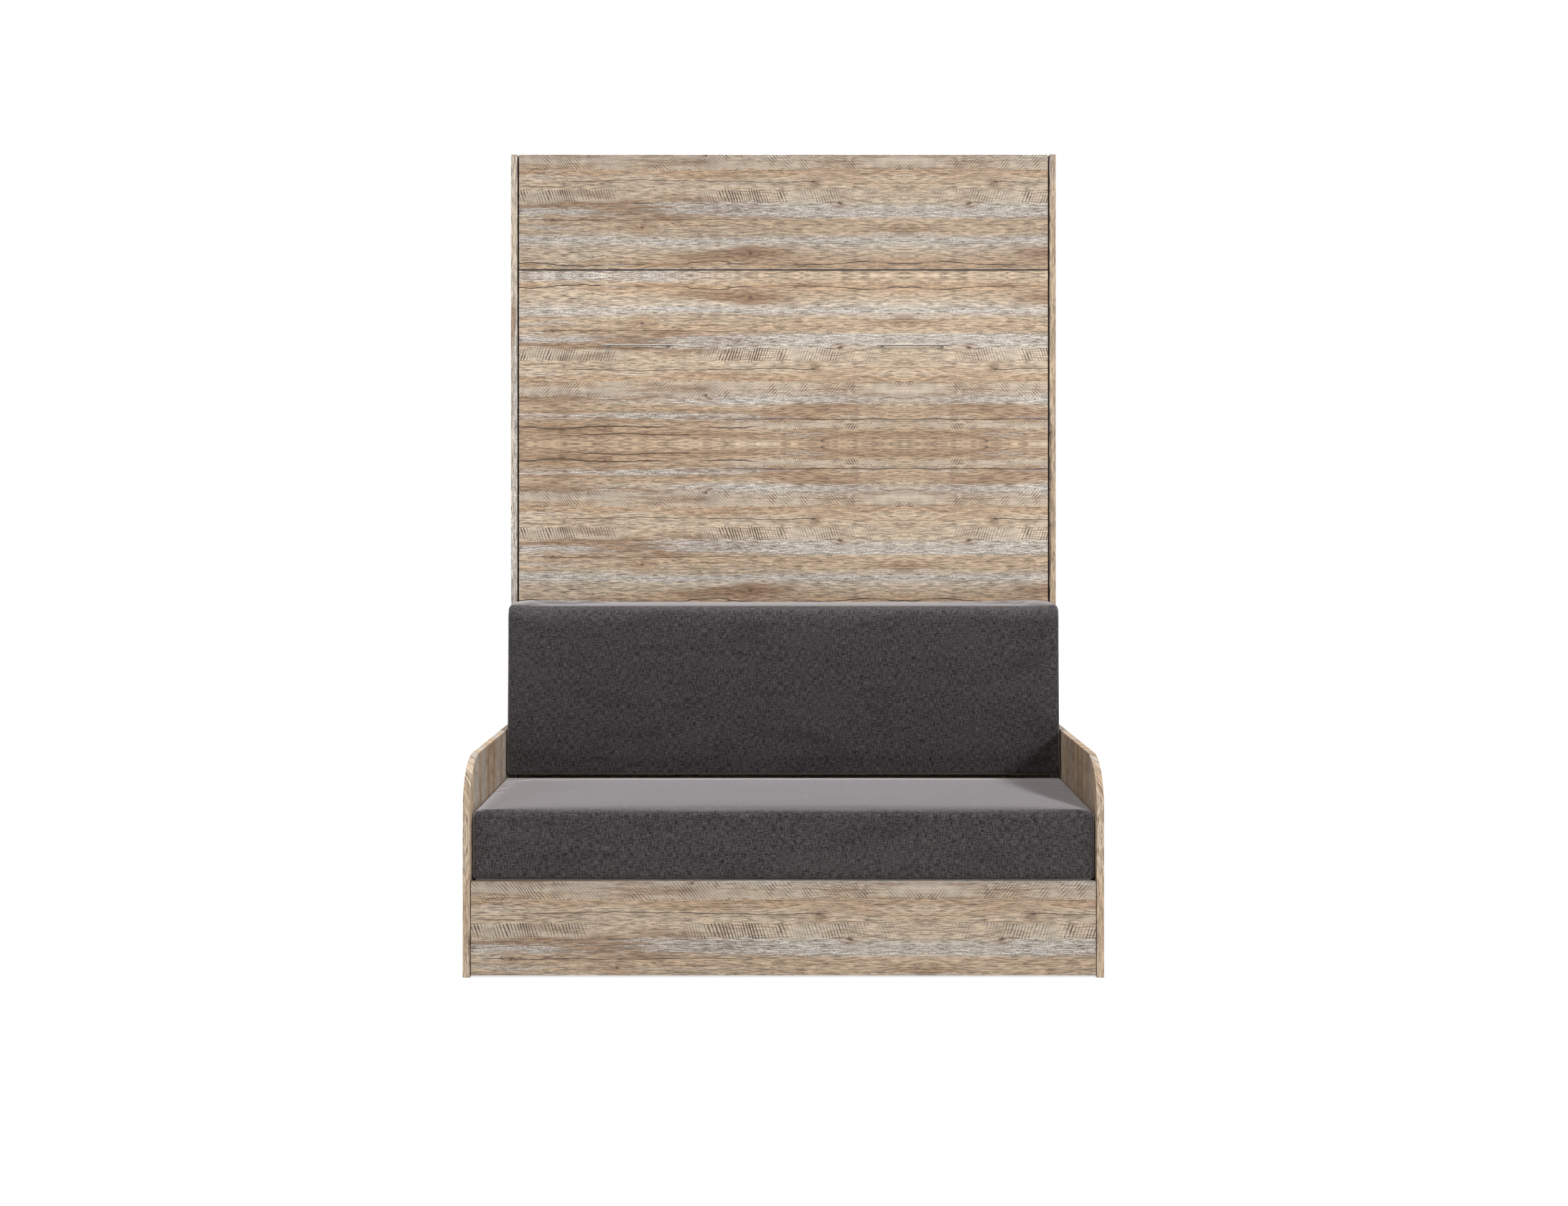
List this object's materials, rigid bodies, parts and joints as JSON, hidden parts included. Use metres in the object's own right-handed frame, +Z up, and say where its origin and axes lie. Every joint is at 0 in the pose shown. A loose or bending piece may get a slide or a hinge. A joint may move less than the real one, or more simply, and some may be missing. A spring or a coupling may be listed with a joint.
{
  "type": "wall bed with sofa",
  "caption": "Vertical fold-down wall bed in a plank-look cabinet, with a two-arm sofa in front whose seat rolls forward as the bed comes down.",
  "frame": {"origin": "centre of the whole outline, on the floor", "axes": "+Z up, -Y into the room (the side one sits on), +X to the right seen from the room"},
  "size_m": [1.58, 1.141, 2.18],
  "materials": {
    "oak_decor": "satin",
    "plain_board": "matte",
    "birch": "matte",
    "charcoal_fabric": "matte",
    "mattress_fabric": "matte",
    "webbing": "matte",
    "brushed_steel": "satin",
    "zinc_steel": "satin",
    "black_paint": "satin",
    "grey_plastic": "satin"
  },
  "bodies": {
    "cabinet": {"cabinet_side_left": "oak_decor", "cabinet_side_right": "oak_decor", "cabinet_top": "oak_decor", "wall_rail_bottom": "plain_board", "wall_rail_middle": "plain_board", "wall_rail_top": "plain_board", "plinth_board": "oak_decor", "pivot_plate_left": "zinc_steel", "pivot_plate_right": "zinc_steel", "spring_bracket_left": "zinc_steel", "spring_bracket_right": "zinc_steel", "sofa_arm_left": "oak_decor", "sofa_arm_right": "oak_decor", "sofa_rear_rail": "plain_board", "seat_guide_left": "birch", "seat_guide_right": "birch"},
    "bed": {"bed_front_panel": "oak_decor", "bed_rail_left": "plain_board", "bed_rail_right": "plain_board", "bed_head_rail": "plain_board", "bed_foot_rail": "plain_board", "bed_centre_beam": "birch", "slat_ledge_left": "birch", "slat_ledge_right": "birch", "slatted_base": "birch", "mattress": "mattress_fabric", "mattress_strap_1": "webbing", "mattress_strap_2": "webbing", "backrest_board": "plain_board", "backrest_cushion": "charcoal_fabric", "handle_left": "brushed_steel", "handle_right": "brushed_steel", "spring_stud_left": "zinc_steel", "spring_stud_right": "zinc_steel", "hinge_leaf_lower": "zinc_steel"},
    "bed_foot": {"foot_panel": "oak_decor", "hinge_leaf_upper": "zinc_steel", "leg_guide_left": "zinc_steel", "leg_guide_right": "zinc_steel"},
    "bed_legs": {"leg_left": "zinc_steel", "leg_right": "zinc_steel"},
    "seat_unit": {"seat_front_panel": "oak_decor", "seat_box_side_left": "plain_board", "seat_box_side_right": "plain_board", "seat_box_back": "plain_board", "seat_box_bottom": "plain_board", "seat_platform": "plain_board", "seat_cushion": "charcoal_fabric", "castor_fork_front_left": "zinc_steel", "castor_fork_front_right": "zinc_steel", "castor_fork_rear_left": "zinc_steel", "castor_fork_rear_right": "zinc_steel"},
    "roller_front_left": {"castor_roller_front_left": "grey_plastic"},
    "roller_front_right": {"castor_roller_front_right": "grey_plastic"},
    "roller_rear_left": {"castor_roller_rear_left": "grey_plastic"},
    "roller_rear_right": {"castor_roller_rear_right": "grey_plastic"},
    "spring_tube_left": {"gas_tube_left": "black_paint"},
    "spring_rod_left": {"gas_rod_left": "zinc_steel"},
    "spring_tube_right": {"gas_tube_right": "black_paint"},
    "spring_rod_right": {"gas_rod_right": "zinc_steel"}
  },
  "joints": [
    {"name": "bed_fold", "type": "hinge", "parent": "cabinet", "child": "bed", "pos_m": [0, 0.1405, 0.5], "axis": [1, 0, 0], "range_deg": [0, 90]},
    {"name": "foot_panel_fold", "type": "hinge", "parent": "bed", "child": "bed_foot", "pos_m": [0, 0.0905, 1.8447], "axis": [1, 0, 0], "range_deg": [0, 90]},
    {"name": "leg_extend", "type": "slide", "parent": "bed_foot", "child": "bed_legs", "axis": [0, 0, 1], "range_m": [0, 0.1432]},
    {"name": "seat_roll", "type": "slide", "parent": "cabinet", "child": "seat_unit", "axis": [0, -1, 0], "range_m": [0, 0.26]},
    {"name": "spring_swing_left", "type": "hinge", "parent": "cabinet", "child": "spring_tube_left", "pos_m": [-0.752, 0.3905, 0.85], "axis": [1, 0, 0], "range_deg": [0, 16.4]},
    {"name": "spring_stroke_left", "type": "slide", "parent": "spring_tube_left", "child": "spring_rod_left", "axis": [0, 0.4138, 0.9104], "range_m": [0, 0.2507]},
    {"name": "spring_swing_right", "type": "hinge", "parent": "cabinet", "child": "spring_tube_right", "pos_m": [0.752, 0.3905, 0.85], "axis": [1, 0, 0], "range_deg": [0, 16.4]},
    {"name": "spring_stroke_right", "type": "slide", "parent": "spring_tube_right", "child": "spring_rod_right", "axis": [0, 0.4138, 0.9104], "range_m": [0, 0.2507]},
    {"name": "roller_spin_front_left", "type": "hinge", "parent": "seat_unit", "child": "roller_front_left", "pos_m": [-0.694, -0.4965, 0.02], "axis": [1, 0, 0], "range_deg": [0, 745]},
    {"name": "roller_spin_front_right", "type": "hinge", "parent": "seat_unit", "child": "roller_front_right", "pos_m": [0.694, -0.4965, 0.02], "axis": [1, 0, 0], "range_deg": [0, 745]},
    {"name": "roller_spin_rear_left", "type": "hinge", "parent": "seat_unit", "child": "roller_rear_left", "pos_m": [-0.694, -0.1765, 0.02], "axis": [1, 0, 0], "range_deg": [0, 745]},
    {"name": "roller_spin_rear_right", "type": "hinge", "parent": "seat_unit", "child": "roller_rear_right", "pos_m": [0.694, -0.1765, 0.02], "axis": [1, 0, 0], "range_deg": [0, 745]}
  ],
  "couplings": [
    {"joint": "foot_panel_fold", "follows": "bed_fold", "ratio": 1},
    {"joint": "leg_extend", "follows": "bed_fold", "m_per_rad": 0.091164},
    {"joint": "seat_roll", "follows": "bed_fold", "m_per_rad": 0.16552},
    {"joint": "spring_swing_left", "follows": "bed_fold", "ratio": 0.18127},
    {"joint": "spring_stroke_left", "follows": "bed_fold", "m_per_rad": 0.15954},
    {"joint": "spring_swing_right", "follows": "bed_fold", "ratio": 0.18127},
    {"joint": "spring_stroke_right", "follows": "bed_fold", "m_per_rad": 0.15954},
    {"joint": "roller_spin_front_left", "follows": "bed_fold", "ratio": 8.2761},
    {"joint": "roller_spin_front_right", "follows": "bed_fold", "ratio": 8.2761},
    {"joint": "roller_spin_rear_left", "follows": "bed_fold", "ratio": 8.2761},
    {"joint": "roller_spin_rear_right", "follows": "bed_fold", "ratio": 8.2761}
  ]
}
